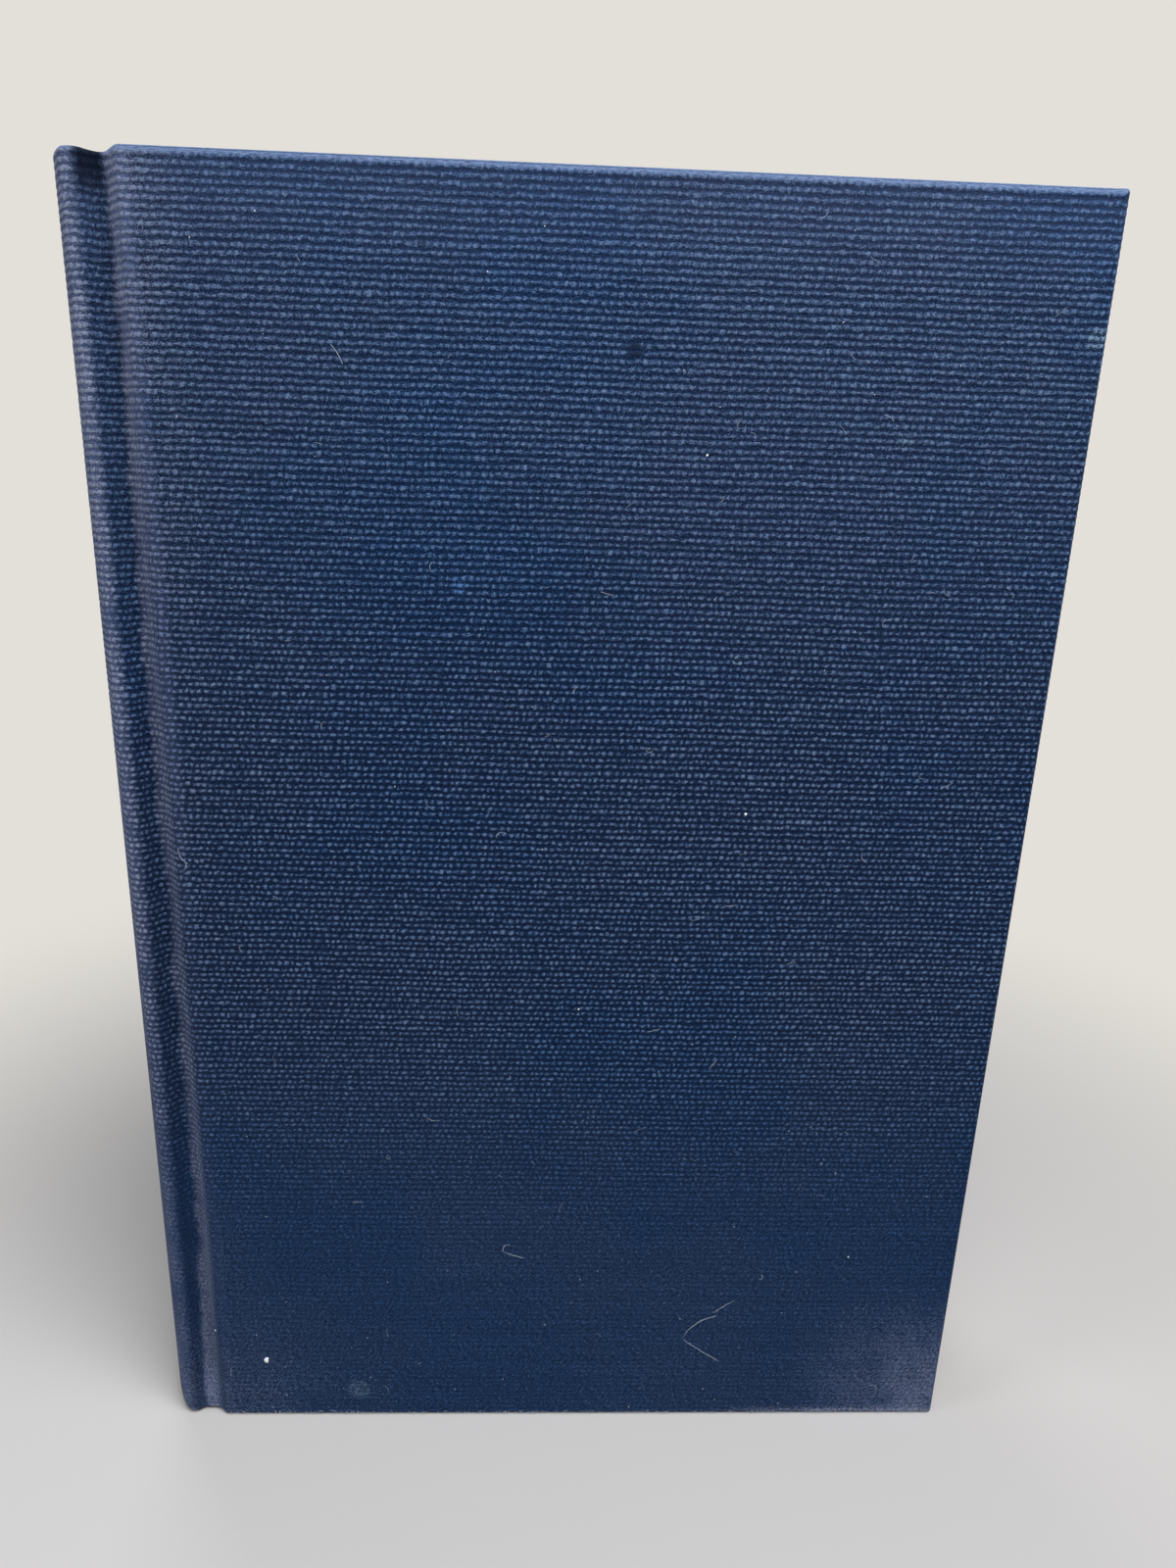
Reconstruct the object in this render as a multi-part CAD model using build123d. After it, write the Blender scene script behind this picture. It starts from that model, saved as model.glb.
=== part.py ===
from build123d import *
import os
from math import atan2, degrees, sqrt

# A cloth-covered hardback book that stands closed on its tail.
# The block of pages has a rounded, backed spine and a hollow fore-edge. The case round it is one sheet
# of cloth on two boards and a spine inlay, and its two covers swing on the grooves beside the spine.
# X runs from the spine to the fore-edge, Y from the front cover to the back cover, Z from tail to head.
# The section is drawn about the centre of the rounded spine. Its upper half (Y > 0) is drawn and mirrored.

# Block of pages
PAGE_HEIGHT = 229.0
PAGE_WIDTH = 154.0
BLOCK_THICKNESS = 32.8
SPINE_RADIUS = 32.3

# Thickness of each sheet
PAPER = 0.15
CLOTH = 0.5
BOARD = 2.3
INLAY = 0.9
LINING = 0.4

# Covers
SQUARE = 3.0
TURN_IN = 15.0
EDGE_ROUND = 1.2
CORNER_ROUND = 1.5
MITRE_GAP = 0.3

# Spine of the case and its two grooves
HOLLOW = 0.6
RIDGE_DROP = 0.5
RIDGE_RADIUS = 3.0
GROOVE_RADIUS = 2.0
GROOVE_FLOOR = 2.6
STRIP_GAP = 0.3
SPINE_DROP = 0.5

# Headbands
BAND_TONGUE = 10.0
BEAD = 1.4

# Heights along Z
COVER_HEIGHT = PAGE_HEIGHT + 2 * SQUARE
PAGE_TAIL = SQUARE
PAGE_HEAD = SQUARE + PAGE_HEIGHT
SPINE_TAIL = SPINE_DROP
SPINE_HEAD = COVER_HEIGHT - SPINE_DROP

# Faces of the layers, as distances from the middle of the block
PAGE_FACE = BLOCK_THICKNESS / 2
LEAF_FACE = PAGE_FACE + PAPER
FLOOR_FACE = LEAF_FACE + CLOTH
TURN_FACE = LEAF_FACE + PAPER
BOARD_INNER = TURN_FACE + CLOTH
BOARD_OUTER = BOARD_INNER + BOARD
COVER_FACE = BOARD_OUTER + CLOTH

# Rounded spine of the case, about the centre of the section
LINING_RADIUS = SPINE_RADIUS + LINING
INLAY_RADIUS = LINING_RADIUS + HOLLOW
CLOTH_RADIUS = INLAY_RADIUS + INLAY
CASE_RADIUS = CLOTH_RADIUS + CLOTH

# Ridge beside the spine, an arc that touches the spine's arc from inside
CREST = COVER_FACE - RIDGE_DROP
RIDGE_Y = CREST - RIDGE_RADIUS
RIDGE_X = -sqrt((CASE_RADIUS - RIDGE_RADIUS) ** 2 - RIDGE_Y ** 2)
RIDGE_ANGLE = degrees(atan2(RIDGE_Y, -RIDGE_X))

# Groove beside the ridge, an arc that touches the ridge's arc and the groove's flat floor
GROOVE_DROP = CREST - FLOOR_FACE
GROOVE_Y = FLOOR_FACE + GROOVE_RADIUS
GROOVE_X = RIDGE_X + sqrt(GROOVE_DROP * (2 * (RIDGE_RADIUS + GROOVE_RADIUS) - GROOVE_DROP))

# Covers and pages along X
COVER_BACK = GROOVE_X + GROOVE_FLOOR
FORE_EDGE = PAGE_WIDTH - sqrt(SPINE_RADIUS ** 2 - PAGE_FACE ** 2)
COVER_FORE = FORE_EDGE + SQUARE
BOARD_BACK = COVER_BACK + CLOTH
BOARD_FORE = COVER_FORE - CLOTH
MIDDLE_X = (COVER_FORE - CASE_RADIUS) / 2

# Opening that the turn-ins leave on the inner face of a board
WINDOW_FORE = BOARD_FORE - TURN_IN
WINDOW_TAIL = CLOTH + TURN_IN
WINDOW_HEAD = COVER_HEIGHT - WINDOW_TAIL

CENTRE = (0, 0)
RIDGE = (RIDGE_X, RIDGE_Y)
GROOVE = (GROOVE_X, GROOVE_Y)


def slab(low, high):
    """A box from its lowest corner to its highest corner."""
    size = [top - bottom for bottom, top in zip(low, high)]
    return Pos(*low) * Box(*size, align=(Align.MIN, Align.MIN, Align.MIN))


def prism(edges, bottom, top):
    """A closed outline in the section, carried from one height to another."""
    return extrude(Pos(0, 0, bottom) * make_face(edges), amount=top - bottom, dir=(0, 0, 1))


def both_sides(half):
    """The half of a piece that lies behind the middle, with its mirror image in front."""
    return half + mirror(half, about=Plane.XZ)


def in_front(part):
    """The front cover's copy of a piece of the back cover."""
    return mirror(part, about=Plane.XZ)


def at_tail(part):
    """The tail's copy of a piece at the head."""
    return mirror(part, about=Plane.XY.offset(COVER_HEIGHT / 2))


def toward(centre, target, distance):
    """The point at a distance from a centre, on the way to a target."""
    step = (Vector(*target) - Vector(*centre)).normalized() * distance
    return (centre[0] + step.X, centre[1] + step.Y)


def arc(centre, start, end):
    """The shorter arc about a centre between two points of the same circle."""
    radius = (Vector(*start) - Vector(*centre)).length
    halfway = ((start[0] + end[0]) / 2, (start[1] + end[1]) / 2)
    return ThreePointArc(start, toward(centre, halfway, radius), end)


def joint_line(start, depth, end_x):
    """Over the ridge and along the groove, at a depth under the face of the cloth."""
    slope = toward(RIDGE, GROOVE, RIDGE_RADIUS - depth)
    floor = (GROOVE_X, FLOOR_FACE - depth)
    end = (end_x, FLOOR_FACE - depth)
    return [arc(RIDGE, start, slope), arc(GROOVE, slope, floor), Line(floor, end)]


def sector(inner, outer, bottom, top):
    """A curved strip of the rounded spine, from ridge to ridge."""
    sides = [toward(CENTRE, (RIDGE_X, side * RIDGE_Y), 1) for side in (1, -1)]
    inside = [(inner * x, inner * y) for x, y in sides]
    outside = [(outer * x, outer * y) for x, y in sides]
    edges = [
        arc(CENTRE, inside[0], inside[1]),
        Line(inside[1], outside[1]),
        arc(CENTRE, outside[1], outside[0]),
        Line(outside[0], inside[0]),
    ]
    return prism(edges, bottom, top)


def behind_the_pages():
    """All that lies behind the rounded back of the block."""
    space = slab((-CASE_RADIUS, -CREST, 0), (0, CREST, COVER_HEIGHT))
    return space - Cylinder(SPINE_RADIUS, 2 * COVER_HEIGHT)


def make_text_block():
    """The pages as one solid, with shoulders beside a rounded spine and a hollow fore-edge."""
    depth = CLOTH + PAPER
    crest = (RIDGE_X, CREST - depth)
    corner = (-CASE_RADIUS, CREST - depth)
    edges = [
        Line((-CASE_RADIUS, 0), corner),
        Line(corner, crest),
        *joint_line(crest, depth, PAGE_WIDTH),
        Line((PAGE_WIDTH, PAGE_FACE), (PAGE_WIDTH, 0)),
        Line((PAGE_WIDTH, 0), (-CASE_RADIUS, 0)),
    ]
    hollow = Pos(PAGE_WIDTH, 0, 0) * Cylinder(SPINE_RADIUS, 2 * COVER_HEIGHT)
    half = prism(edges, PAGE_TAIL, PAGE_HEAD) - behind_the_pages() - hollow
    return both_sides(half)


def make_flyleaf():
    """The free half of an endpaper, which lies on the pages and climbs their shoulder."""
    upper = (RIDGE_X, CREST - CLOTH)
    lower = (RIDGE_X, CREST - CLOTH - PAPER)
    edges = [
        Line(lower, upper),
        *joint_line(upper, CLOTH, FORE_EDGE),
        Line((FORE_EDGE, LEAF_FACE), (FORE_EDGE, PAGE_FACE)),
        *joint_line(lower, CLOTH + PAPER, FORE_EDGE),
    ]
    return prism(edges, PAGE_TAIL, PAGE_HEAD) - behind_the_pages()


def make_spine_lining():
    """The cloth and paper glued to the back of the pages, between the headbands."""
    return sector(SPINE_RADIUS, LINING_RADIUS, PAGE_TAIL + BAND_TONGUE, PAGE_HEAD - BAND_TONGUE)


def make_head_band():
    """A bead on the head of the pages, with its tongue glued down their back."""
    bead_x = LINING_RADIUS - BEAD / 2
    bead = Pos(bead_x, PAGE_HEAD + BEAD / 2) * Circle(BEAD / 2)
    tongue_height = BAND_TONGUE + BEAD / 2
    tongue_middle = (SPINE_RADIUS + LINING / 2, PAGE_HEAD - BAND_TONGUE + tongue_height / 2)
    tongue = Pos(*tongue_middle) * Rectangle(LINING, tongue_height)
    band = revolve(Plane.XZ * (bead + tongue), axis=Axis.Z, revolution_arc=2 * RIDGE_ANGLE)
    return Rot(0, 0, 180 - RIDGE_ANGLE) * band


def make_spine_inlay():
    """The curved card that stiffens the spine of the case."""
    return sector(INLAY_RADIUS, CLOTH_RADIUS, SPINE_TAIL + CLOTH, SPINE_HEAD - CLOTH)


def make_spine_cloth():
    """The cloth from groove to groove, turned in over the inlay at head and tail."""
    outer = toward(CENTRE, RIDGE, CASE_RADIUS)
    inner = toward(CENTRE, RIDGE, CLOTH_RADIUS)
    end_x = COVER_BACK - STRIP_GAP
    edges = [
        arc(CENTRE, (-CASE_RADIUS, 0), outer),
        *joint_line(outer, 0, end_x),
        Line((end_x, FLOOR_FACE), (end_x, LEAF_FACE)),
        *joint_line(inner, CLOTH, end_x),
        arc(CENTRE, inner, (-CLOTH_RADIUS, 0)),
        Line((-CLOTH_RADIUS, 0), (-CASE_RADIUS, 0)),
    ]
    sheet = both_sides(prism(edges, SPINE_TAIL, SPINE_HEAD))
    fold = sector(INLAY_RADIUS, CLOTH_RADIUS, SPINE_HEAD - CLOTH, SPINE_HEAD)
    turn_in = sector(INLAY_RADIUS - CLOTH, INLAY_RADIUS, SPINE_HEAD - TURN_IN, SPINE_HEAD)
    return sheet + fold + turn_in + at_tail(fold) + at_tail(turn_in)


def rounded_slab(low, high, corner, edge):
    """A cover's slab with round corners, and with a round edge all along its outer face."""
    block = slab(low, high)
    block = fillet(block.edges().filter_by(Axis.Y), corner)
    return fillet(block.faces().sort_by(Axis.Y)[-1].edges(), edge)


def make_board():
    """A bare board."""
    low = (BOARD_BACK, BOARD_INNER, CLOTH)
    high = (BOARD_FORE, BOARD_OUTER, COVER_HEIGHT - CLOTH)
    return rounded_slab(low, high, CORNER_ROUND - CLOTH, EDGE_ROUND - CLOTH)


def make_mitre():
    """The slit where two turn-ins meet at the head of the fore-edge."""
    reach = TURN_IN / 2 - MITRE_GAP
    middle = (WINDOW_FORE + reach, (TURN_FACE + BOARD_INNER) / 2, WINDOW_HEAD + reach)
    return Pos(*middle) * Rot(0, -45, 0) * Box(sqrt(2) * TURN_IN, CLOTH, MITRE_GAP)


def make_cover_cloth():
    """The cloth round a board, turned in over its inner face on three sides."""
    low = (COVER_BACK, TURN_FACE, 0)
    high = (COVER_FORE, COVER_FACE, COVER_HEIGHT)
    window_low = (COVER_BACK, TURN_FACE, WINDOW_TAIL)
    window_high = (WINDOW_FORE, BOARD_INNER, WINDOW_HEAD)
    mitre = make_mitre()
    cloth = rounded_slab(low, high, CORNER_ROUND, EDGE_ROUND) - make_board()
    return cloth - slab(window_low, window_high) - mitre - at_tail(mitre)


def make_pastedown():
    """The glued half of an endpaper, which covers the board and steps up over the turn-ins."""
    sheet = slab((BOARD_BACK, LEAF_FACE, PAGE_TAIL), (FORE_EDGE, BOARD_INNER, PAGE_HEAD))
    under = slab((BOARD_BACK, TURN_FACE, PAGE_TAIL), (FORE_EDGE, BOARD_INNER, PAGE_HEAD))
    window = slab((BOARD_BACK, TURN_FACE, WINDOW_TAIL), (WINDOW_FORE, BOARD_INNER, WINDOW_HEAD))
    dip_low = (BOARD_BACK, LEAF_FACE, WINDOW_TAIL + PAPER)
    dip_high = (WINDOW_FORE - PAPER, BOARD_INNER - PAPER, WINDOW_HEAD - PAPER)
    return sheet - (under - window) - slab(dip_low, dip_high)


def make_parts():
    """Every piece of the book by its name, still about the centre of the section."""
    board = make_board()
    cloth = make_cover_cloth()
    pastedown = make_pastedown()
    flyleaf = make_flyleaf()
    head_band = make_head_band()
    return {
        "text_block": make_text_block(),
        "spine_lining": make_spine_lining(),
        "head_band": head_band,
        "tail_band": at_tail(head_band),
        "front_flyleaf": in_front(flyleaf),
        "back_flyleaf": flyleaf,
        "spine_inlay": make_spine_inlay(),
        "spine_cloth": make_spine_cloth(),
        "front_board": in_front(board),
        "front_cloth": in_front(cloth),
        "front_pastedown": in_front(pastedown),
        "back_board": board,
        "back_cloth": cloth,
        "back_pastedown": pastedown,
    }


os.makedirs("parts", exist_ok=True)
for name, part in make_parts().items():
    export_step(Pos(-MIDDLE_X, 0, 0) * part, f"parts/{name}.step")
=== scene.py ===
from math import atan2, cos, pi, radians, sin, sqrt

import bpy
import numpy as np
from mathutils import Matrix, Vector


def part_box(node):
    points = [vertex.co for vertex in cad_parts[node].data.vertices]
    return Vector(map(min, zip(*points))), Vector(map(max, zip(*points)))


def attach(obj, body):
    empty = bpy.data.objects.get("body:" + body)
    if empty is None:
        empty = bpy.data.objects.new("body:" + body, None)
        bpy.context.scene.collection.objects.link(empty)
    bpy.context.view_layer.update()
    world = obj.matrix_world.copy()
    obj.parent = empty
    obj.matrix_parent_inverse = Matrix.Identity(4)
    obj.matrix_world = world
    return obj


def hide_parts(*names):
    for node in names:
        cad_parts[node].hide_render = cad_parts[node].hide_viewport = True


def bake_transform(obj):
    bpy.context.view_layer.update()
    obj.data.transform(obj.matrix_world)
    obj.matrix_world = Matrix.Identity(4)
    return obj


# The looks of a cloth-covered hardback book that stands closed on its tail.
# X runs from the spine to the fore-edge, Y from the front cover to the back cover, Z from tail to head.
# Lengths are in millimetres, and become metres where a mesh, a lamp or the camera is made.

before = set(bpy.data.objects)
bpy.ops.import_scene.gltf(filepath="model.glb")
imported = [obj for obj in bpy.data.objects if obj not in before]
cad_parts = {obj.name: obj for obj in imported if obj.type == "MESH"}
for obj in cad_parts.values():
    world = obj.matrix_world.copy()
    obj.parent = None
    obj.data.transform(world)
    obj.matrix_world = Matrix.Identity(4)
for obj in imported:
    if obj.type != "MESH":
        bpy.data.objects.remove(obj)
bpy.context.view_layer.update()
MM = 0.001


def node_box(name):
    """The lowest and the highest corner of a solid, in millimetres."""
    return [[value / MM for value in corner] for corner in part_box(name)]


# Places taken from the solids, on the back half of the book (Y > 0)
(_, TURN_FACE, COVER_TAIL), (COVER_FORE, COVER_FACE, COVER_HEAD) = node_box("back_cloth")
(SPINE_X, _, _), (_, CREST, SPINE_HEAD) = node_box("spine_cloth")
(_, _, PAGE_TAIL), (PAGE_FORE, _, PAGE_HEAD) = node_box("text_block")
(BOARD_BACK, BOARD_INNER, _), _ = node_box("back_board")
(_, PAGE_FACE, _), _ = node_box("back_flyleaf")
(_, LEAF_FACE, _), _ = node_box("back_pastedown")

# Section of the case and the block
CASE_RADIUS = 34.7
RIDGE_RADIUS = 2.3
GROOVE_RADIUS = 1.6
FOOT_RADIUS = 1.5
SHOULDER_RADIUS = 1.6
SHOULDER_SLOPE = radians(48)
FLOOR_WIDTH = 0.1
FLOOR_CLOTH = 0.5
CLOTH = 0.35
CASE_WALL = 1.9
DOUBLE_CLOTH = 1.0
TURN_IN = 15.0
SHORT_TURN_IN = 2.3
SPINE_RADIUS = 32.3
LINING = 0.4
PAPER = 0.1

# Rounding of the cloth's edges at head and tail, outside and inside the fold, and the dip at each groove
EDGE_ROUND, EDGE_FOLD = 1.2, 0.3
SPINE_ROUND, SPINE_FOLD = 0.7, 0.9
GROOVE_ROUND, GROOVE_FOLD = 0.5, 0.45
NOTCH = 0.1

# Corners of the cover, and the mitre of the cloth there
CORNER_ROUND = 0.7
CORNER_SHARP = 0.05
CORNER_REACH = 0.3
MITRE = radians(45)

# Places and angles that follow
ORIGIN = (0, 0)
CENTRE_X = SPINE_X + CASE_RADIUS
FLOOR = LEAF_FACE + FLOOR_CLOTH
RIDGE_Y = CREST - RIDGE_RADIUS
RIDGE_X = CENTRE_X - sqrt((CASE_RADIUS - RIDGE_RADIUS) ** 2 - RIDGE_Y ** 2)
RIDGE_ANGLE = atan2(RIDGE_Y, CENTRE_X - RIDGE_X)
GROOVE_Y = FLOOR + GROOVE_RADIUS
GROOVE_X = RIDGE_X + sqrt((RIDGE_RADIUS + GROOVE_RADIUS) ** 2 - (GROOVE_Y - RIDGE_Y) ** 2)
SLOPE_ANGLE = atan2(GROOVE_Y - RIDGE_Y, GROOVE_X - RIDGE_X)
FOOT_X = GROOVE_X + FLOOR_WIDTH
TWO_ARCS = FOOT_RADIUS + SHOULDER_RADIUS
CLIMB = (COVER_FACE - FLOOR - TWO_ARCS * (1 - cos(SHOULDER_SLOPE))) / sin(SHOULDER_SLOPE)
SHOULDER_X = FOOT_X + TWO_ARCS * sin(SHOULDER_SLOPE) + CLIMB * cos(SHOULDER_SLOPE)

# Lengths along the sheet, from the middle of the spine
SPINE_END = CASE_RADIUS * RIDGE_ANGLE
RIDGE_END = SPINE_END + RIDGE_RADIUS * (pi - RIDGE_ANGLE - SLOPE_ANGLE)
GROOVE_END = RIDGE_END + GROOVE_RADIUS * (pi / 2 - SLOPE_ANGLE) + FOOT_X - GROOVE_X
FACE_START = GROOVE_END + TWO_ARCS * SHOULDER_SLOPE + CLIMB

# Weave of the cloth
RIB_PITCH = 1.163
RIB_DEPTH = 0.16
TAIL_RELIEF = 0.35
ROWS_PER_RIB = 4
RIBS = round((COVER_HEAD - COVER_TAIL - 2 * EDGE_ROUND) / RIB_PITCH)
FLOAT_PITCH = 1.18

# The end of each groove at the tail, which is squashed outwards
SQUASH = 1.5
SQUASH_WIDTH = 2.3
SQUASH_HEIGHT = 13.0

# The tail of the spine, which is bumped inwards
BUMPED = 2.8

# Pages, sheets and bands
LEAVES = 164
GATHERING = 8
LEAF_GAP = 0.06
BLOCK_DEPTH = FLOOR - PAGE_FACE
FORE_CENTRE = PAGE_FORE + sqrt(SPINE_RADIUS ** 2 - PAGE_FACE ** 2)
WINDOW_RAMP = 1.2
BEAD = 0.7
BEAD_ARC = 32.0
BAND_TONGUE = 10.0
BAND_THREAD = 0.6

# Where the joint of a cover folds, as places along X. The endpaper folds further out, over the cloth.
PAPER_FOLD = (-70.7, -68.1)

FRONT, BACK = -1, 1
SIDES = {"front": FRONT, "back": BACK}


def smooth(value, low=0.0, high=1.0):
    """A smooth step from 0 at low to 1 at high."""
    share = np.clip((np.asarray(value, float) - low) / (high - low), 0, 1)
    return share * share * (3 - 2 * share)


def lerp(start, end, share):
    """The value at a share of the way from start to end."""
    return start + (end - start) * share


def make_object(name, verts, faces, side=FRONT, smooth_faces=None):
    """A mesh object from points in millimetres. A piece of the back half has its faces turned round."""
    if side == BACK:
        faces = [face[::-1] for face in faces]
    mesh = bpy.data.meshes.new(name)
    mesh.from_pydata((np.asarray(verts) * MM).tolist(), [], faces)
    count = len(faces) if smooth_faces is None else smooth_faces
    mesh.polygons.foreach_set("use_smooth", [index < count for index in range(len(faces))])
    mesh.update()
    obj = bpy.data.objects.new(name, mesh)
    bpy.context.scene.collection.objects.link(obj)
    return obj


def set_uv(obj, name, corner_uv, side):
    """A UV map from one list of points for each face, in the order that the faces were given in."""
    if side == BACK:
        corner_uv = [face[::-1] for face in corner_uv]
    layer = obj.data.uv_layers.new(name=name)
    layer.data.foreach_set("uv", np.concatenate([np.ravel(face) for face in corner_uv]).astype(np.float32))


def grid_quads(number):
    """The cells of a grid of point numbers, each counted round as seen from the front."""
    low, high = number[:-1], number[1:]
    return np.stack([low[:, :-1], low[:, 1:], high[:, 1:], high[:, :-1]], axis=2).reshape(-1, 4)


def ring_quads(number, flip=False):
    """The cells of a tube of point numbers, each row of which is a closed ring."""
    after = np.roll(number, -1, axis=1)
    cells = [number[:-1], number[1:], after[1:], after[:-1]]
    if flip:
        cells = [number[:-1], after[:-1], after[1:], number[1:]]
    return np.stack(cells, axis=2).reshape(-1, 4)


def closed_tube(rows, ring):
    """The faces of a tube of points with both its ends closed."""
    number = np.arange(rows * ring).reshape(rows, ring)
    return [*ring_quads(number).tolist(), number[0].tolist(), number[-1][::-1].tolist()]


# Slow waves that the ribs of the cloth follow, the same for both halves of the sheet

waves = np.random.default_rng(7)
WAVE_COUNT = 24
WAVE_LENGTH_U = waves.uniform(12, 170, WAVE_COUNT) * waves.choice([-1, 1], WAVE_COUNT)
WAVE_LENGTH_Z = waves.uniform(12, 220, WAVE_COUNT) * waves.choice([-1, 1], WAVE_COUNT)
WAVE_PHASE = waves.uniform(0, 2 * pi, WAVE_COUNT)
WAVE_SIZE = waves.uniform(0.008, 0.024, WAVE_COUNT)
JITTERS = 400
RIB_JITTER = waves.normal(0, 0.055, JITTERS)


def wave(u, z):
    """How far a rib wanders up or down at a place on the sheet."""
    total = 0
    for length_u, length_z, phase, size in zip(WAVE_LENGTH_U, WAVE_LENGTH_Z, WAVE_PHASE, WAVE_SIZE):
        total = total + size * np.sin(2 * pi * (u / length_u + z / length_z) + phase)
    return total


def rib_height(v):
    """Relief of the ribs: 0 on a crest and lower between two ribs. They are flatter towards the tail."""
    v = np.asarray(v)
    depth = RIB_DEPTH * lerp(TAIL_RELIEF, 1, smooth(v, 0.3 * RIBS, 0.9 * RIBS))
    return -depth * (0.5 - 0.5 * np.cos(2 * pi * v))


def on_circle(centre, radius, angle):
    """A point on a circle in the book's cross-section."""
    return centre[0] + radius * np.cos(angle), centre[1] + radius * np.sin(angle)


def shoulder_climb():
    """Points and outward directions from the floor of the groove up to the cover's face."""
    foot = (FOOT_X, FLOOR + FOOT_RADIUS)
    shoulder = (SHOULDER_X, COVER_FACE - SHOULDER_RADIUS)
    climb = []
    for share in np.linspace(0, 1, 6):
        angle = 1.5 * pi + SHOULDER_SLOPE * share
        climb.append((on_circle(foot, FOOT_RADIUS, angle), on_circle(ORIGIN, -1, angle)))
    low, lean = climb[-1]
    for share in np.linspace(0, 1, 9)[1:-1]:
        climb.append((on_circle(low, CLIMB * share, SHOULDER_SLOPE), lean))
    for share in np.linspace(1, 0, 7):
        angle = pi / 2 + SHOULDER_SLOPE * share
        climb.append((on_circle(shoulder, SHOULDER_RADIUS, angle), on_circle(ORIGIN, 1, angle)))
    return climb


def case_section():
    """Columns of the cloth from the middle of the spine to the edge of the cover's face.

    Each has its outer point, outward direction, inner point at head and tail, outer and inner rounding
    of the edge there, reach of the turn-in, and how far the edge lies below the cover's.
    """
    columns = []

    def add(point, normal, inner, rounds, reach, drop):
        columns.append((*point, *normal, *inner, *rounds, reach, drop))

    drop = COVER_HEAD - SPINE_HEAD
    notch = drop + NOTCH
    soft = (SPINE_ROUND, SPINE_FOLD)
    spine, ridge, groove = (CENTRE_X, 0), (RIDGE_X, RIDGE_Y), (GROOVE_X, GROOVE_Y)
    bends = [(spine, CASE_RADIUS, pi - RIDGE_ANGLE * share) for share in [0, 0.015, *np.linspace(0.1, 1, 10)]]
    for share in np.linspace(0, 1, 11)[1:]:
        bends.append((ridge, RIDGE_RADIUS, lerp(pi - RIDGE_ANGLE, SLOPE_ANGLE, share)))
    for centre, radius, angle in bends:
        inner = on_circle(centre, radius - CASE_WALL, angle)
        add(on_circle(centre, radius, angle), on_circle(ORIGIN, 1, angle), inner, soft, SHORT_TURN_IN, drop)
    for share in np.linspace(0, 1, 7)[1:]:
        angle = lerp(pi + SLOPE_ANGLE, 1.5 * pi, share)
        normal = on_circle(ORIGIN, -1, angle)
        inner = on_circle(groove, GROOVE_RADIUS + lerp(CASE_WALL, DOUBLE_CLOTH, share), angle)
        rounds = (lerp(SPINE_ROUND, GROOVE_ROUND, share), lerp(SPINE_FOLD, GROOVE_FOLD, share))
        sink = lerp(drop, notch, smooth(share))
        add(on_circle(groove, GROOVE_RADIUS, angle), normal, inner, rounds, SHORT_TURN_IN, sink)
    climb = shoulder_climb()
    for index, (point, normal) in enumerate(climb):
        share = index / (len(climb) - 1)
        inner = (lerp(FOOT_X, SHOULDER_X, share), lerp(FLOOR - DOUBLE_CLOTH, TURN_FACE, share))
        rounds = (lerp(GROOVE_ROUND, EDGE_ROUND, share), lerp(GROOVE_FOLD, EDGE_FOLD, share))
        reach = lerp(SHORT_TURN_IN, TURN_IN, smooth(share, 0.8, 1))
        add(point, normal, inner, rounds, reach, notch * (1 - smooth(share)))
    last = COVER_FORE - EDGE_ROUND
    near_edge = [SHOULDER_X + step for step in (0.8, 2.0, 3.6)]
    plain = np.linspace(SHOULDER_X + 5.5, last - 1.2, 36)
    near_corner = [last - step for step in (0.6, 0.3, 0.2, 0.1, 0)]
    for x in [*near_edge, *plain, *near_corner]:
        add((x, COVER_FACE), (0, 1), (x, TURN_FACE), (EDGE_ROUND, EDGE_FOLD), TURN_IN, 0)
    return np.array(columns, float)


def rib_rows():
    """Rows of the cloth's face, counted in ribs from the tail, with a few more beside the corners."""
    rows = np.arange(RIBS * ROWS_PER_RIB + 1) / ROWS_PER_RIB
    extra = np.array([0.09, 0.17])
    return np.sort(np.concatenate([rows, extra, RIBS - extra]))


def edge_profile(outer, inner, depth, reach):
    """Rings of the turned-in edge, as distance from the outline, depth, outward lean and length so far."""
    rings = []
    for angle in np.linspace(0, pi / 2, 6):
        inset, deep = outer * (1 - np.sin(angle)), outer * (1 - np.cos(angle))
        rings.append((inset, deep, np.sin(angle), np.cos(angle), outer * angle))
    flat = depth - outer - inner
    so_far = outer * pi / 2
    for share in (0.25, 0.5, 0.75, 1):
        rings.append((0, outer + flat * share, 1, 0, so_far + flat * share))
    so_far = so_far + flat
    for angle in (pi / 4, pi / 2):
        inset, deep = inner * (1 - np.cos(angle)), depth - inner * (1 - np.sin(angle))
        rings.append((inset, deep, np.cos(angle), -np.sin(angle), so_far + inner * angle))
    so_far = so_far + inner * pi / 2
    for share in (0.034, 0.068, 0.1, 0.135, 0.17, 0.21, 1):
        run = (reach - inner) * share
        rings.append((inner + run, depth, 0, -1, so_far + run))
    end = so_far + reach - inner
    rings.append((reach, depth - CLOTH, 0, 0, end))
    rings.append((CLOTH, depth - CLOTH, 0, 0, end))
    rings.append((CLOTH, CLOTH, 0, 0, end))
    return rings


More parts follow.
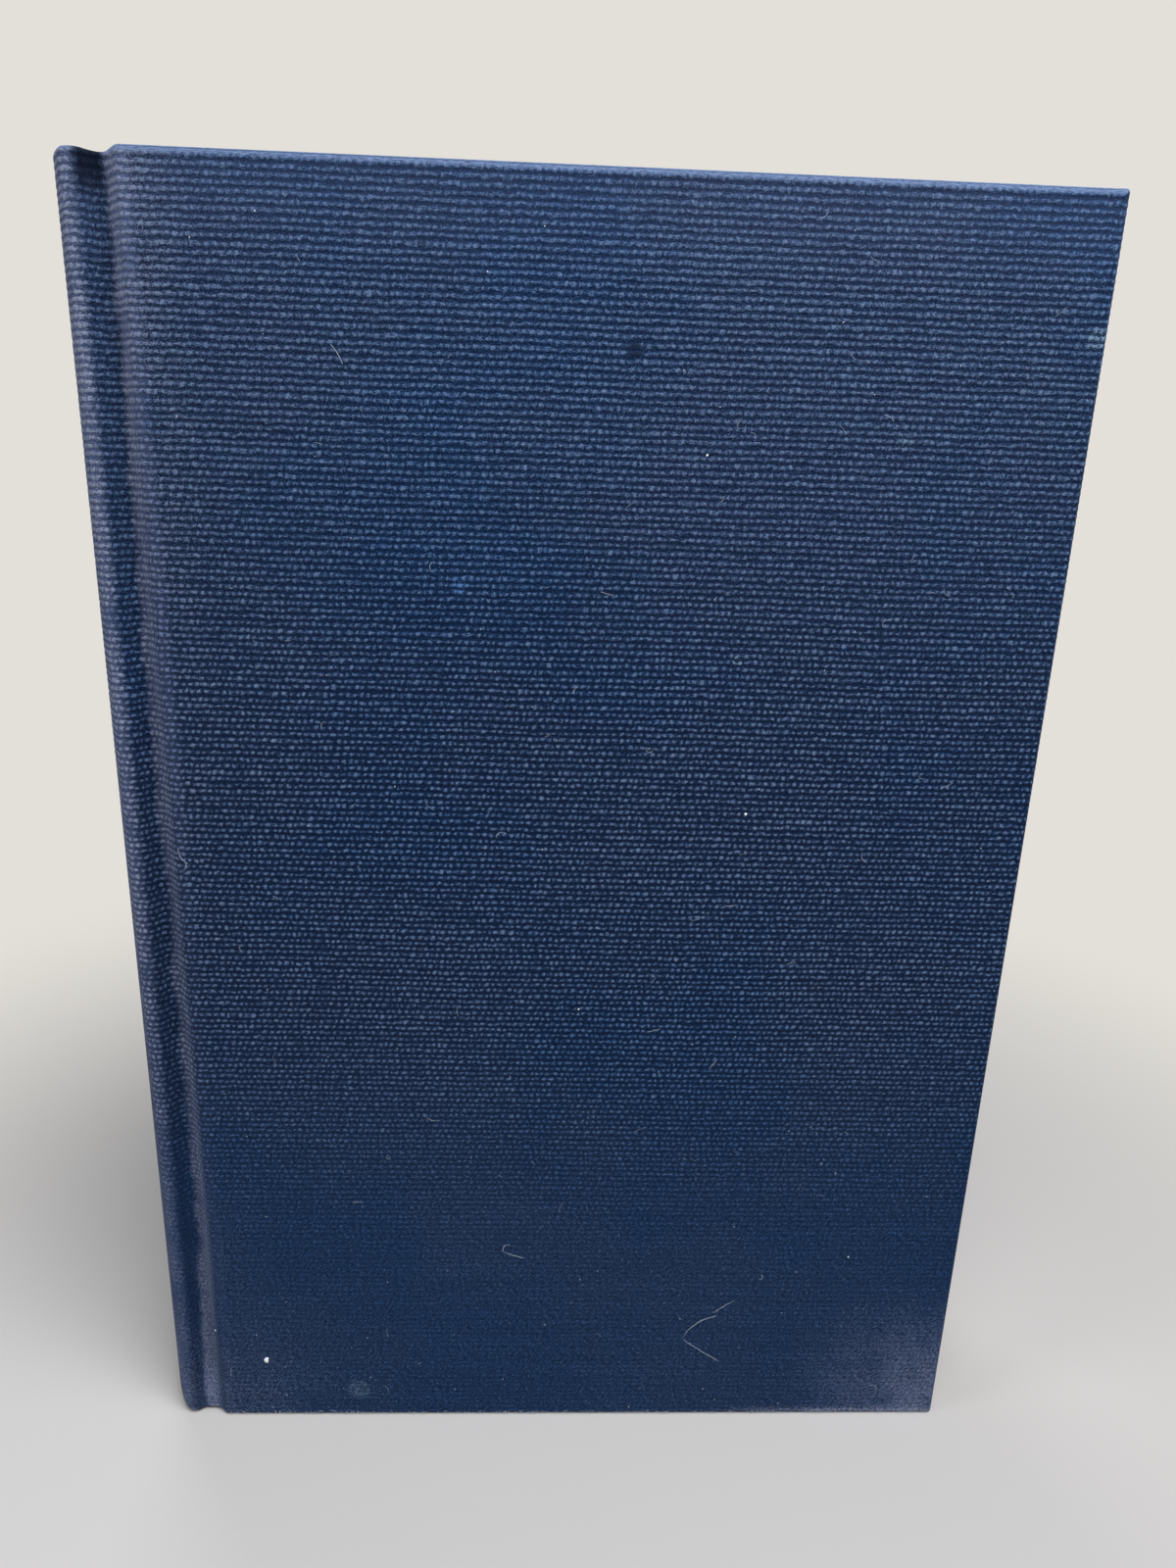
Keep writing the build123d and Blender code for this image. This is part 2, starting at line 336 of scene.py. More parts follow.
def dent_tail(verts, reach, hem):
    """Squashes the end of the groove outwards and bumps the end of the spine inwards, at the tail.

    reach is each point's length along the sheet, and hem numbers the hidden points that stay.
    """
    squashed = np.exp(-((reach - GROOVE_END) / SQUASH_WIDTH) ** 2)
    squashed[hem] = 0
    verts[:, 1] += SQUASH * squashed * smooth(verts[:, 2], COVER_TAIL + SQUASH_HEIGHT, COVER_TAIL)
    below = np.clip(1 - (verts[:, 2] - COVER_TAIL) / BUMPED, 0, 1)
    bumped = BUMPED * (1 - np.sqrt(1 - below ** 2))
    verts[:, 0] += bumped * smooth(reach, RIDGE_END, SPINE_END)


def make_case_cloth(name, side):
    """Half of the cloth sheet: half the spine, a groove and a cover, with its edges turned in.

    It is a closed skin. Its ribs are real relief, and its UV map counts millimetres along the ribs
    and ribs along the height.
    """
    x, y, normal_x, normal_y, inner_x, inner_y, outer_round, inner_round, reach, drop = case_section().T
    columns = len(x)
    u = np.concatenate([[0], np.cumsum(np.hypot(np.diff(x), np.diff(y)))]) * -side
    v = rib_rows()
    rows = len(v)

    # Face of the cloth
    low = COVER_TAIL + drop + outer_round
    high = COVER_HEAD - drop - outer_round
    level = low + (high - low) * (v / RIBS)[:, None]
    calm = smooth(np.minimum(v, RIBS - v) / 4)[:, None]
    jitter = np.interp(v, np.arange(JITTERS), RIB_JITTER)[:, None]
    rough = np.random.default_rng(3)
    rib = np.floor(v).astype(int)
    stray = rough.normal(0, 0.035, (RIBS + 1, columns))[rib]
    level = level + calm * (wave(u, level) + jitter + stray)
    worn = lerp(0.6, 1, smooth(np.abs(u), RIDGE_END - 1, FACE_START))
    lift = rib_height(v)[:, None] * worn * rough.uniform(0.4, 1.05, (RIBS + 1, columns))[rib]
    grid = np.stack([x + lift * normal_x, y + lift * normal_y, level], axis=2)

    # Outline of the face: along the tail, up the fore-edge and back along the head
    end = columns - 1
    top = rows - 1
    col = np.concatenate([np.arange(columns), np.full(rows - 2, end), np.arange(columns)[::-1]])
    row = np.concatenate([np.zeros(columns, int), np.arange(1, rows - 1), np.full(columns, top)])
    loop = len(col)
    tail_corner, head_corner = end, end + rows - 1
    place = np.arange(loop)
    at_fore = (place > tail_corner) & (place < head_corner)
    to_corner = np.minimum(level[row, end] - level[0, end], level[top, end] - level[row, end])
    from_corner = np.where(at_fore, to_corner, x[end] - x[col])
    turn = MITRE * np.clip(from_corner / CORNER_REACH, 0, 1)
    upper = place > (tail_corner + head_corner) / 2
    lean = np.where(at_fore, MITRE - turn, MITRE + turn) * np.where(upper, 1, -1)
    in_corner = from_corner < CORNER_REACH

    depth = np.hypot(inner_x - x, inner_y - y)
    into_x, into_y = (inner_x - x) / depth, (inner_y - y) / depth
    rings = []
    for ring in edge_profile(outer_round, inner_round, depth, reach):
        inset, deep, out, face, length = (np.broadcast_to(values, columns)[col] for values in ring)
        round_off = np.maximum(CORNER_ROUND * (1 - inset / EDGE_ROUND), CORNER_SHARP)
        corner_x = COVER_FORE - inset - round_off + round_off * np.cos(lean)
        corner_z = inset + round_off - round_off * np.abs(np.sin(lean))
        flat_x = np.where(at_fore, COVER_FORE - inset, x[col])
        flat_z = np.where(upper, COVER_HEAD - drop[col] - inset, COVER_TAIL + drop[col] + inset)
        flat_z = np.where(at_fore, level[row, end], flat_z)
        edge_x = np.where(in_corner, corner_x, flat_x)
        edge_z = np.where(in_corner, np.where(upper, COVER_HEAD - corner_z, COVER_TAIL + corner_z), flat_z)
        out_x, out_z = np.where(np.abs(lean) < radians(89), np.cos(lean), 0), np.sin(lean)
        edge_v = np.where(at_fore, v[row], np.where(upper, RIBS + length / RIB_PITCH, -length / RIB_PITCH))
        ribbed = 0.5 * rib_height(edge_v) * smooth(from_corner / 0.9) * ((out != 0) | (face != 0))
        px = edge_x + into_x[col] * deep + ribbed * (out * out_x - face * into_x[col])
        py = y[col] + into_y[col] * deep - ribbed * face * into_y[col]
        pz = edge_z + ribbed * out * out_z
        rings.append((np.stack([px, py, pz], axis=1), length))
    grid[row, col] = rings[0][0]

    # Faces: the sheet first, then the turned-in edges, and last the hidden back of the cloth
    number = np.arange(rows * columns).reshape(rows, columns)
    first = rows * columns + np.arange(len(rings) - 1) * loop
    ring_number = [number[row, col], *(first[:, None] + place)]
    verts = np.concatenate([grid.reshape(-1, 3), *[points for points, _ in rings[1:]]])
    owner = np.concatenate([np.tile(np.arange(columns), rows), np.tile(col, len(rings) - 1)])
    dent_tail(verts, np.abs(u)[owner], ring_number[-1])
    verts[:, 1] *= side
    quads = grid_quads(number)
    uv_grid = np.stack(np.meshgrid(u, v), axis=2).reshape(-1, 2)
    faces = [quads]
    face_uv = [uv_grid[quads]]
    on_fore = (place[:-1] >= tail_corner) & (place[:-1] < head_corner)
    for inside, outside, (_, near), (_, far) in zip(ring_number, ring_number[1:], rings, rings[1:]):
        faces.append(np.stack([inside[:-1], outside[:-1], outside[1:], inside[1:]], axis=1))

        def edge_uv(at, length):
            fore = np.stack([u[end] - side * length[at], v[row[at]]], axis=1)
            wrap = np.where(upper[at], RIBS + length[at] / RIB_PITCH, -length[at] / RIB_PITCH)
            return np.where(on_fore[:, None], fore, np.stack([u[col[at]], wrap], axis=1))

        here, after = place[:-1], place[1:]
        corners = [edge_uv(here, near), edge_uv(here, far), edge_uv(after, far), edge_uv(after, near)]
        face_uv.append(np.stack(corners, axis=1))
    faces = np.concatenate(faces)
    face_uv = np.concatenate(face_uv)
    outer_count = len(faces) - 3 * (loop - 1)
    hem = ring_number[-1]
    tail, head = hem[:tail_corner + 1], hem[head_corner:][::-1]
    backing = [[tail[j], head[j], head[j + 1], tail[j + 1]] for j in range(end - 1)]
    fore_backing = [tail[end - 1], head[end - 1], *hem[tail_corner:head_corner + 1][::-1]]
    head_rings = [ring[-1] for ring in ring_number[1:]]
    tail_rings = [ring[0] for ring in ring_number[:0:-1]]
    middle = [*number[:, 0], *head_rings, *tail_rings]
    polygons = [*faces.tolist(), *[[int(n) for n in face] for face in (*backing, fore_backing, middle)]]
    obj = make_object(name, verts, polygons, side, outer_count)
    blank = [np.zeros((len(face), 2)) for face in polygons[len(faces):]]
    set_uv(obj, "weave", [*face_uv, *blank], side)
    return obj


def block_half(x):
    """Half the thickness of the pages at a place along X. They flare beside the spine."""
    groove = GROOVE_Y - np.sqrt(np.maximum((GROOVE_RADIUS + BLOCK_DEPTH) ** 2 - (x - GROOVE_X) ** 2, 0))
    ridge = RIDGE_Y + np.sqrt(np.maximum((RIDGE_RADIUS - BLOCK_DEPTH) ** 2 - (x - RIDGE_X) ** 2, 0))
    turn = RIDGE_X + (RIDGE_RADIUS - BLOCK_DEPTH) * cos(SLOPE_ANGLE)
    return np.where(x > GROOVE_X, PAGE_FACE, np.where(x > turn, groove, ridge))


def make_page_block(name):
    """The pages, leaf by leaf, with every leaf trimmed a little differently. Its UV map counts leaves."""
    random = np.random.default_rng(11)
    gathered = np.repeat(random.uniform(0, 0.07, LEAVES // GATHERING + 1), GATHERING)[:LEAVES]
    leaf = np.repeat(np.arange(LEAVES), 2)
    trim_tail, trim_fore, trim_head = (gathered + random.uniform(0.01, 0.08, (3, LEAVES)))[:, leaf]
    sides = np.linspace(-1, 1, LEAVES + 1)
    gap = LEAF_GAP * (sides[1] - sides[0])
    share_y = np.stack([sides[:-1] + gap, sides[1:] - gap], axis=1).ravel()
    rows = len(share_y)

    # Ends of each leaf, on the round spine and the hollow fore-edge
    back = np.full(rows, RIDGE_X)
    for _ in range(8):
        back = CENTRE_X - np.sqrt(SPINE_RADIUS ** 2 - (share_y * block_half(back)) ** 2)
    fore = FORE_CENTRE - np.sqrt(SPINE_RADIUS ** 2 - (share_y * PAGE_FACE) ** 2) - trim_fore
    tail, head = PAGE_TAIL + trim_tail, PAGE_HEAD - trim_head

    # Outline of each leaf: along the tail, up the fore-edge, back along the head and down the spine
    along = np.linspace(0, 1, 26) ** 1.6
    up = np.linspace(0, 1, 18)[1:-1]
    columns = len(along)
    corners = np.array([*along, *np.ones(len(up)), *along[::-1], *np.zeros(len(up))])
    levels = np.array([*np.zeros(columns), *up, *np.ones(columns), *up[::-1]])
    x = lerp(back[:, None], fore[:, None], corners)
    z = lerp(tail[:, None], head[:, None], levels)
    y = share_y[:, None] * block_half(x)
    verts = np.stack([x, y, z], axis=2).reshape(-1, 3)
    loop = len(corners)
    number = np.arange(rows * loop).reshape(rows, loop)
    sheet = ring_quads(number).tolist()

    # Flat faces of the outer leaves
    caps = []
    for line, way in ((number[0], 1), (number[-1], -1)):
        below, above = line[:columns], line[columns + len(up):2 * columns + len(up)][::-1]
        plates = [[below[j], below[j + 1], above[j + 1], above[j]] for j in range(1, columns - 2)]
        plates.append([below[-2], *line[columns - 1:columns + len(up)], above[-1], above[-2]])
        plates.append([above[1], above[0], *line[2 * columns + len(up):], below[0], below[1]])
        caps += [[int(n) for n in plate[::way]] for plate in plates]
    faces = sheet + caps
    obj = make_object(name, verts, faces, FRONT, 0)
    count = np.repeat(leaf + np.tile([0.25, 0.75], LEAVES), loop)
    uv = np.stack([count, np.tile(np.arange(loop), rows) * 1.0], axis=1)
    set_uv(obj, "leaves", [uv[face] for face in faces], FRONT)
    return obj


def make_sheet(name, side, outer, inner):
    """A thin closed sheet between two grids of points. Its UV map holds millimetres."""
    rows, columns = outer.shape[:2]
    total = rows * columns
    near = np.arange(total).reshape(rows, columns)
    loop = np.concatenate([near[0, :-1], near[:-1, -1], near[-1, :0:-1], near[:0:-1, 0]])
    after = np.roll(loop, -1)
    rim = np.stack([loop, loop + total, after + total, after], axis=1)
    faces = np.concatenate([grid_quads(near), grid_quads(near + total)[:, ::-1], rim])
    verts = np.concatenate([outer.reshape(-1, 3), inner.reshape(-1, 3)])
    uv = verts[:, [0, 2]]
    obj = make_object(name, verts * (1, side, 1), faces.tolist(), side, len(faces) - len(rim))
    set_uv(obj, "sheet", uv[faces], side)
    return obj


def joint_line(start, depth):
    """Points of a sheet that lies under the cloth at that depth, from start to the floor of the groove."""
    x, y, normal_x, normal_y = case_section().T[:4]
    kept = (x > start) & (x <= GROOVE_X + 0.01)
    return (x - depth * normal_x)[kept], (y - depth * normal_y)[kept]


def sheet_points(start, depth, plain_x, plain_y, z):
    """Grid of points that follows the groove's slope and then goes on across the cover."""
    slope_x, slope_y = joint_line(start, depth)
    x = np.broadcast_to([*slope_x, *plain_x], (len(z), len(slope_x) + len(plain_x)))
    y = np.concatenate([np.broadcast_to(slope_y, (len(z), len(slope_y))), plain_y], axis=1)
    return np.stack([x, y, np.broadcast_to(z[:, None], x.shape)], axis=2)


def make_endpaper(name, side):
    """Glued half of an endpaper, which sinks into the frame that the cloth's turned-in edges leave."""
    start = GROOVE_X - 2.4
    window_fore, window_tail, window_head = COVER_FORE - TURN_IN, COVER_TAIL + TURN_IN, COVER_HEAD - TURN_IN
    ramp = np.linspace(-1.5, 0.5, 9)
    bend = np.linspace(PAPER_FOLD[0] - 0.1, PAPER_FOLD[1] + 0.1, 30)
    joint = np.linspace(PAPER_FOLD[1] + 0.6, BOARD_BACK + 1.5, 8)
    x = np.array([*bend, *joint, *np.linspace(BOARD_BACK + 4, window_fore - 4, 30),
                  *(window_fore + ramp), *np.linspace(window_fore + 3, PAGE_FORE, 4)])
    z = np.array([*np.linspace(PAGE_TAIL, window_tail - 2, 4), *(window_tail - ramp[::-1]),
                  *np.linspace(window_tail + 5, window_head - 5, 40), *(window_head + ramp),
                  *np.linspace(window_head + 2, PAGE_HEAD, 4)])
    sunk = smooth(x, BOARD_BACK - 2, BOARD_BACK + 1) * smooth(x, window_fore - 0.2, window_fore - WINDOW_RAMP)
    sunk = sunk * smooth(z, window_tail + 0.2, window_tail + WINDOW_RAMP)[:, None]
    sunk = sunk * smooth(z, window_head - 0.2, window_head - WINDOW_RAMP)[:, None]
    level = lerp(LEAF_FACE + PAPER, BOARD_INNER - 0.02, sunk)
    outer = sheet_points(start, FLOOR - LEAF_FACE - PAPER, x, level, z)
    inner = sheet_points(start, FLOOR - LEAF_FACE - 0.01, x, level - PAPER, z)
    return make_sheet(name, side, outer, inner)


def make_flyleaf(name, side):
    """Free half of an endpaper, which lies on the pages and climbs their shoulder."""
    start = GROOVE_X - 3.1
    x = np.linspace(GROOVE_X + 0.6, PAGE_FORE - 0.02, 40)
    z = np.linspace(PAGE_TAIL, PAGE_HEAD, 40)
    flat = np.ones((len(z), len(x)))
    outer = sheet_points(start, FLOOR - LEAF_FACE + 0.02, x, flat * (LEAF_FACE - 0.02), z)
    inner = sheet_points(start, FLOOR - PAGE_FACE - 0.02, x, flat * (PAGE_FACE + 0.02), z)
    return make_sheet(name, side, outer, inner)


def make_band(name, edge, way):
    """A headband: a bead of wound thread on the edge of the pages, and its tongue on their back."""
    steps, ring = 480, 10
    angle = np.linspace(-RIDGE_ANGLE, RIDGE_ANGLE, steps)
    length = BEAD_ARC * angle
    thick = BEAD * (0.92 + 0.08 * np.cos(2 * pi * length / BAND_THREAD))[:, None]
    turn = np.linspace(0, 2 * pi, ring, endpoint=False) * -way
    radius = BEAD_ARC + thick * np.cos(turn)
    x = CENTRE_X - radius * np.cos(angle)[:, None]
    y = radius * np.sin(angle)[:, None]
    z = edge + way * BEAD + thick * np.sin(turn) * way * -1
    bead = np.stack([x, y, z], axis=2).reshape(-1, 3)
    number = np.arange(steps * ring).reshape(steps, ring)
    faces = ring_quads(number, flip=True).tolist()
    ends = [number[0][::-1].tolist(), number[-1].tolist()]
    uv = [np.stack([length[np.array(face) // ring], np.array(face) % ring], axis=1) for face in faces + ends]

    # The tongue, a bent strip of cloth
    bends = 40
    angle = np.linspace(-RIDGE_ANGLE, RIDGE_ANGLE, bends) * 0.98
    tongue = []
    for radius, level in ((SPINE_RADIUS + LINING, -BAND_TONGUE), (SPINE_RADIUS + LINING, 0.2),
                          (SPINE_RADIUS + 0.02, 0.2), (SPINE_RADIUS + 0.02, -BAND_TONGUE)):
        height = np.full(bends, edge + way * level)
        tongue.append(np.stack([CENTRE_X - radius * np.cos(angle), radius * np.sin(angle), height], axis=1))
    tongue = np.stack(tongue, axis=1).reshape(-1, 3)
    number = len(bead) + np.arange(bends * 4).reshape(bends, 4)
    strip = ring_quads(number, flip=True)
    strip = [face[::-way] for face in [*strip.tolist(), number[0][::-1].tolist(), number[-1].tolist()]]
    uv += [np.zeros((len(face), 2)) for face in strip]
    obj = make_object(name, np.concatenate([bead, tongue]), faces + ends + strip, FRONT, len(faces))
    set_uv(obj, "thread", uv, FRONT)
    return obj


# Lint on the front cover: hairs as start, length, heading and turn, and specks as place and size
HAIRS = [
    (26.9, 20.2, 9.8, -39, 6), (26.9, 20.2, 9.4, 70, -58), (32.8, 26.7, 5.4, 45, -15),
    (-10.2, 41.9, 4.4, -24, 8), (-10.2, 41.9, 2.6, 115, -120), (-37.9, 209.1, 3.4, -45, -25),
    (-67.3, 127.0, 3.6, -100, 70), (-66.6, 124.5, 2.4, -40, -120),
]
SPECKS = [
    (-58.6, 14.6, 0.68), (-68.9, 20.8, 0.30), (31.3, 135.1, 0.30), (3.2, 96.4, 0.26),
    (20.6, 194.8, 0.22), (59.5, 40.9, 0.22),
]
SMALL_HAIRS = 70
EDGE_HAIRS = 220
HAIR_RADIUS = 0.04
EDGE_HAIR_RADIUS = 0.03
SMALL_SPECKS = 200


def cover_level(x):
    """How far the outside of the front cover lies from the book's middle."""
    section = case_section()
    return np.interp(x, section[:, 0], section[:, 1])


def hair_mesh(start_x, start_z, length, heading, turn, radius):
    """A fine fibre that curls on the cover, as points and faces."""
    steps, ring = 28, 4
    way = np.radians(np.linspace(heading, heading + turn, steps))
    stride = length / steps
    x = start_x + np.cumsum(np.cos(way)) * stride
    z = start_z + np.cumsum(np.sin(way)) * stride
    wiggle = np.sin(np.linspace(0, 5 * pi, steps) + heading)
    out = cover_level(x) + radius + 0.05 * (1 + wiggle)
    thick = radius * np.sin(np.linspace(0.12, 0.88, steps) * pi) ** 0.4
    verts = []
    for angle in np.linspace(0, 2 * pi, ring, endpoint=False):
        side, rise = thick * np.cos(angle), thick * np.sin(angle)
        verts.append(np.stack([x - side * np.sin(way), -out - rise, z + side * np.cos(way)], axis=1))
    verts = np.stack(verts, axis=1).reshape(-1, 3)
    return verts, closed_tube(steps, ring)


def speck_mesh(x, z, size, random):
    """A lumpy flake of dust on the cover, as points and faces."""
    rings, ring = 5, 9
    tilt = np.linspace(0.2, pi - 0.2, rings)[:, None]
    turn = np.linspace(0, 2 * pi, ring, endpoint=False)
    lump = size * random.uniform(0.6, 1.15, (rings, ring))
    stretch = random.uniform(0.6, 1.0)
    px = x + lump * np.sin(tilt) * np.cos(turn) * stretch
    pz = z + lump * np.sin(tilt) * np.sin(turn)
    py = -cover_level(x) - 0.3 * lump * np.cos(tilt)
    verts = np.stack([px, py, pz], axis=2).reshape(-1, 3)
    return verts, closed_tube(rings, ring)


def make_scatter(name, parts):
    """Many small shapes in one mesh."""
    verts, faces = [], []
    first = 0
    for points, cells in parts:
        verts.append(points)
        faces += [[first + n for n in cell] for cell in cells]
        first += len(points)
    return make_object(name, np.concatenate(verts), faces)


def make_hairs(name):
    """Hairs and short fibres on the front cover."""
    random = np.random.default_rng(23)
    parts = [hair_mesh(*hair, HAIR_RADIUS) for hair in HAIRS]
    for _ in range(SMALL_HAIRS):
        place = random.uniform(BOARD_BACK, COVER_FORE - 4), random.uniform(4, COVER_HEAD - 4)
        curl = random.uniform(0.6, 2.6), random.uniform(0, 360), random.normal(0, 90)
        parts.append(hair_mesh(*place, *curl, random.uniform(0.018, 0.032)))
    for _ in range(EDGE_HAIRS):
        place = random.uniform(BOARD_BACK, COVER_FORE - 1), random.uniform(0.9, 1.3)
        curl = random.uniform(0.4, 0.9), random.normal(-90, 40), random.normal(0, 60)
        parts.append(hair_mesh(*place, *curl, EDGE_HAIR_RADIUS))
    return make_scatter(name, parts)


def make_specks(name):
    """Flakes of white dust on the front cover."""
    random = np.random.default_rng(29)
    parts = [speck_mesh(*speck, random) for speck in SPECKS]
    for _ in range(SMALL_SPECKS):
        height = lerp(2, COVER_HEAD - 3, random.uniform() ** 1.8)
        place = random.uniform(BOARD_BACK, COVER_FORE - 3), height
        parts.append(speck_mesh(*place, random.uniform(0.04, 0.13), random))
    return make_scatter(name, parts)


# Materials

class Graph:
    """The nodes of one material, made by short calls. A value is a number, a colour or a socket."""

    def __init__(self, name):
        self.material = bpy.data.materials.new(name)
        self.material.use_nodes = True
        self.tree = self.material.node_tree
        self.shader = self.tree.nodes["Principled BSDF"]

    def put(self, value, socket):
        if isinstance(value, bpy.types.NodeSocket):
            self.tree.links.new(value, socket)
        else:
            socket.default_value = value

    def set(self, **values):
        """Sets or links the shader's sockets, by their names with _ for a space, and gives the material."""
        for name, value in values.items():
            self.put(value, self.shader.inputs[name.replace("_", " ")])
        return self.material

    def node(self, kind, inputs, output=0, **settings):
        made = self.tree.nodes.new(kind)
        for name, value in settings.items():
            setattr(made, name, value)
        for key, value in inputs.items():
            self.put(value, made.inputs[key])
        return made.outputs[output]

    def math(self, operation, *values):
        return self.node("ShaderNodeMath", dict(enumerate(values)), operation=operation)

    def times(self, first, *others):
        for other in others:
            first = self.math("MULTIPLY", first, other)
        return first

    def plus(self, first, *others):
        for other in others:
            first = self.math("ADD", first, other)
        return first

    def step(self, value, low, high):
        """A smooth step from 0 at low to 1 at high, or down where low is the larger."""
        flip = low > high
        inputs = {"Value": value, "From Min": min(low, high), "From Max": max(low, high),
                  "To Min": float(flip), "To Max": float(not flip)}
        return self.node("ShaderNodeMapRange", inputs, interpolation_type="SMOOTHSTEP")

    def mix(self, share, first, second):
        """A colour that is a share of the way from the first to the second."""
        inputs = {0: share, 6: first, 7: second}
        return self.node("ShaderNodeMix", inputs, 2, data_type="RGBA", clamp_factor=True)

    def point(self, x=0.0, y=0.0, z=0.0):
        return self.node("ShaderNodeCombineXYZ", {"X": x, "Y": y, "Z": z})

    def split(self, vector):
        return self.node("ShaderNodeSeparateXYZ", {0: vector}).node.outputs

    def noise(self, vector, scale, detail=2.0, roughness=0.5):
        inputs = {"Vector": vector, "Scale": scale, "Detail": detail, "Roughness": roughness}
        return self.node("ShaderNodeTexNoise", inputs)

    def streaks(self, x, stretch_x, y, stretch_y, detail=2.0, roughness=0.5):
        """Noise with a scale of its own along each of two directions."""
        where = self.point(self.times(x, stretch_x), self.times(y, stretch_y))
        return self.noise(where, 1.0, detail, roughness)

    def random(self, x, y=0.0):
        return self.node("ShaderNodeTexWhiteNoise", {"Vector": self.point(x, y)}, noise_dimensions="2D")

    def bump(self, height, distance):
        inputs = {"Height": height, "Distance": distance * MM, "Strength": 1.0}
        return self.node("ShaderNodeBump", inputs)

    def place(self, uv_map=None):
        """Millimetres on the surface: of a UV map, or of the object's own frame."""
        if uv_map:
            return self.split(self.node("ShaderNodeUVMap", {}, uv_map=uv_map))
        inputs = {0: self.node("ShaderNodeTexCoord", {}, output=3), 3: 1 / MM}
        return self.split(self.node("ShaderNodeVectorMath", inputs, operation="SCALE"))


def rgb(red, green, blue):
    return (red, green, blue, 1.0)


# Colours of the cloth
# DEEP is the darker dye of the streaks, and also the painted shade between the threads and in the groove
DEEP = rgb(0.002, 0.010, 0.038)
PLAIN = rgb(0.070, 0.128, 0.265)
VIVID = rgb(0.034, 0.110, 0.280)
LIGHT = rgb(0.270, 0.350, 0.500)
MAUVE = rgb(0.092, 0.130, 0.262)
DUST = rgb(0.288, 0.330, 0.465)
# Rubbed edge at the head, partly painted highlight
EDGE_BLUE = rgb(0.200, 0.290, 0.490)
# Painted shadow of the dent at the head of each groove
PAINTED_DENT_SHADE = rgb(0.001, 0.004, 0.014)

# Spots and thick threads on the front cover: place along X and Z, radius, strength and colour
SPOT_PALE = rgb(0.24, 0.38, 0.52)
SPOT_BLUE = rgb(0.10, 0.24, 0.56)
SPOT_DARK = rgb(0.003, 0.008, 0.022)
SPOTS = [
    (80.1, 212.6, 2.1, 0.55, SPOT_PALE), (51.8, 196.4, 2.2, 0.35, SPOT_PALE),
    (-40.0, 5.5, 2.6, 0.5, SPOT_PALE), (-18.3, 172.2, 1.2, 0.95, SPOT_BLUE),
    (27.8, 160.9, 0.9, 0.6, SPOT_PALE), (45.5, 163.5, 1.1, 0.7, SPOT_BLUE),
    (8.4, 208.4, 1.7, 0.9, SPOT_DARK), (-23.9, 222.4, 1.3, 0.6, SPOT_DARK),
]


def weave_pattern(g, u, v, z):
    """How bright the cloth is at a place, with painted shade between its ribs and floats, and the uneven,
    fibre and felt patterns that it is made of.
    """
    # Threads: ribs of short leaning floats, of uneven length and brightness, dark with painted shade between
    # the ribs and between the floats
    stray = g.streaks(u, 0.6, v, 0.8, 3.0, 0.65)
    level = g.plus(v, stray, -0.5)
    rib = g.math("FLOOR", g.plus(level, 0.5))
    across = g.math("SUBTRACT", level, rib)
    crest = g.plus(g.times(g.math("COSINE", g.times(across, 2 * pi)), 0.5), 0.5)
    drift = g.streaks(u, 0.2, rib, 0.57)
    along = g.plus(g.times(u, 1 / FLOAT_PITCH), g.times(rib, 0.5), g.times(drift, 2.4), g.times(across, -0.2))
    regular = g.plus(g.times(g.math("COSINE", g.times(along, 2 * pi)), 0.5), 0.5)
    chance = g.random(g.math("FLOOR", g.plus(along, 0.5)), rib)
    uneven = g.streaks(u, 1.3, rib, 7.31, 3.0, 0.7)
    slant = g.plus(u, g.times(z, -0.35))
    fibre = g.streaks(slant, 3.3, v, 5.2, 3.0, 0.75)
    float_top = g.step(g.plus(g.times(regular, 0.4), uneven), 0.30, 1.15)
    float_top = g.times(float_top, g.plus(g.times(chance, 0.35), 0.75))
    # Painted light: towards the head the threads are painted lighter and with less contrast, standing in for
    # the light from above
    painted_light_near_head = g.step(v, 0.6 * RIBS, 0.95 * RIBS)
    float_top = g.plus(g.times(float_top, g.plus(g.times(painted_light_near_head, -0.35), 1.0)), g.times(painted_light_near_head, 0.2))
    body = g.plus(g.times(g.step(crest, 0.1, 1.0), float_top), g.times(crest, 0.08))
    body = g.plus(body, g.times(painted_light_near_head, uneven, 0.22))
    calm = g.plus(g.times(g.step(v, 0.14 * RIBS, 0.44 * RIBS), 1.1), 0.2)
    calm = g.plus(calm, g.times(g.step(v, 0.58 * RIBS, 0.8 * RIBS), -0.24))
    rough = g.plus(g.times(g.step(v, 0.1 * RIBS, 0.4 * RIBS), 0.5), 2.9)
    grain = g.times(g.plus(fibre, -0.5), rough)

    # Nap: matted fibres that lean across the ribs, thickest towards the tail
    nap_across = g.times(g.plus(u, g.times(z, -1.2)), 1.5)
    nap_along = g.times(g.plus(u, z), 0.8)
    felt = g.noise(g.point(nap_across, nap_along), 1.0, 2.0, 0.6)
    matted = g.plus(g.times(g.step(v, 0.45 * RIBS, 0.1 * RIBS), 0.85), 0.35)
    nap = g.times(g.plus(felt, -0.5), matted)
    bright = g.plus(g.times(g.plus(body, -0.28), calm), grain, nap, 0.28)
    return bright, uneven, fibre, felt


def dyed_cloth(g, u, v, z, bright):
    """Colour of the clean cloth, dyed unevenly, with painted shade between its threads and paler tops on the
    brightest floats.
    """
    cloud = g.noise(g.point(u, z), 0.018, 3.0, 0.55)
    streak = g.streaks(u, 0.03, z, 0.4)
    cool = g.times(g.step(v, 0.55 * RIBS, 0.1 * RIBS), 0.5)
    dye = g.mix(g.plus(g.step(cloud, 0.40, 0.66), cool), PLAIN, VIVID)
    dye = g.mix(g.step(streak, 0.35, 0.75), g.mix(0.2, dye, DEEP), dye)
    # Painted shade: where the threads are dark, between the ribs and the floats, the colour goes to deep navy
    colour = g.mix(bright, DEEP, dye)
    # The brightest floats are paler still: partly worn paler fibres, partly painted highlight
    return g.mix(g.times(g.step(bright, 0.45, 1.3), 0.5), colour, LIGHT)


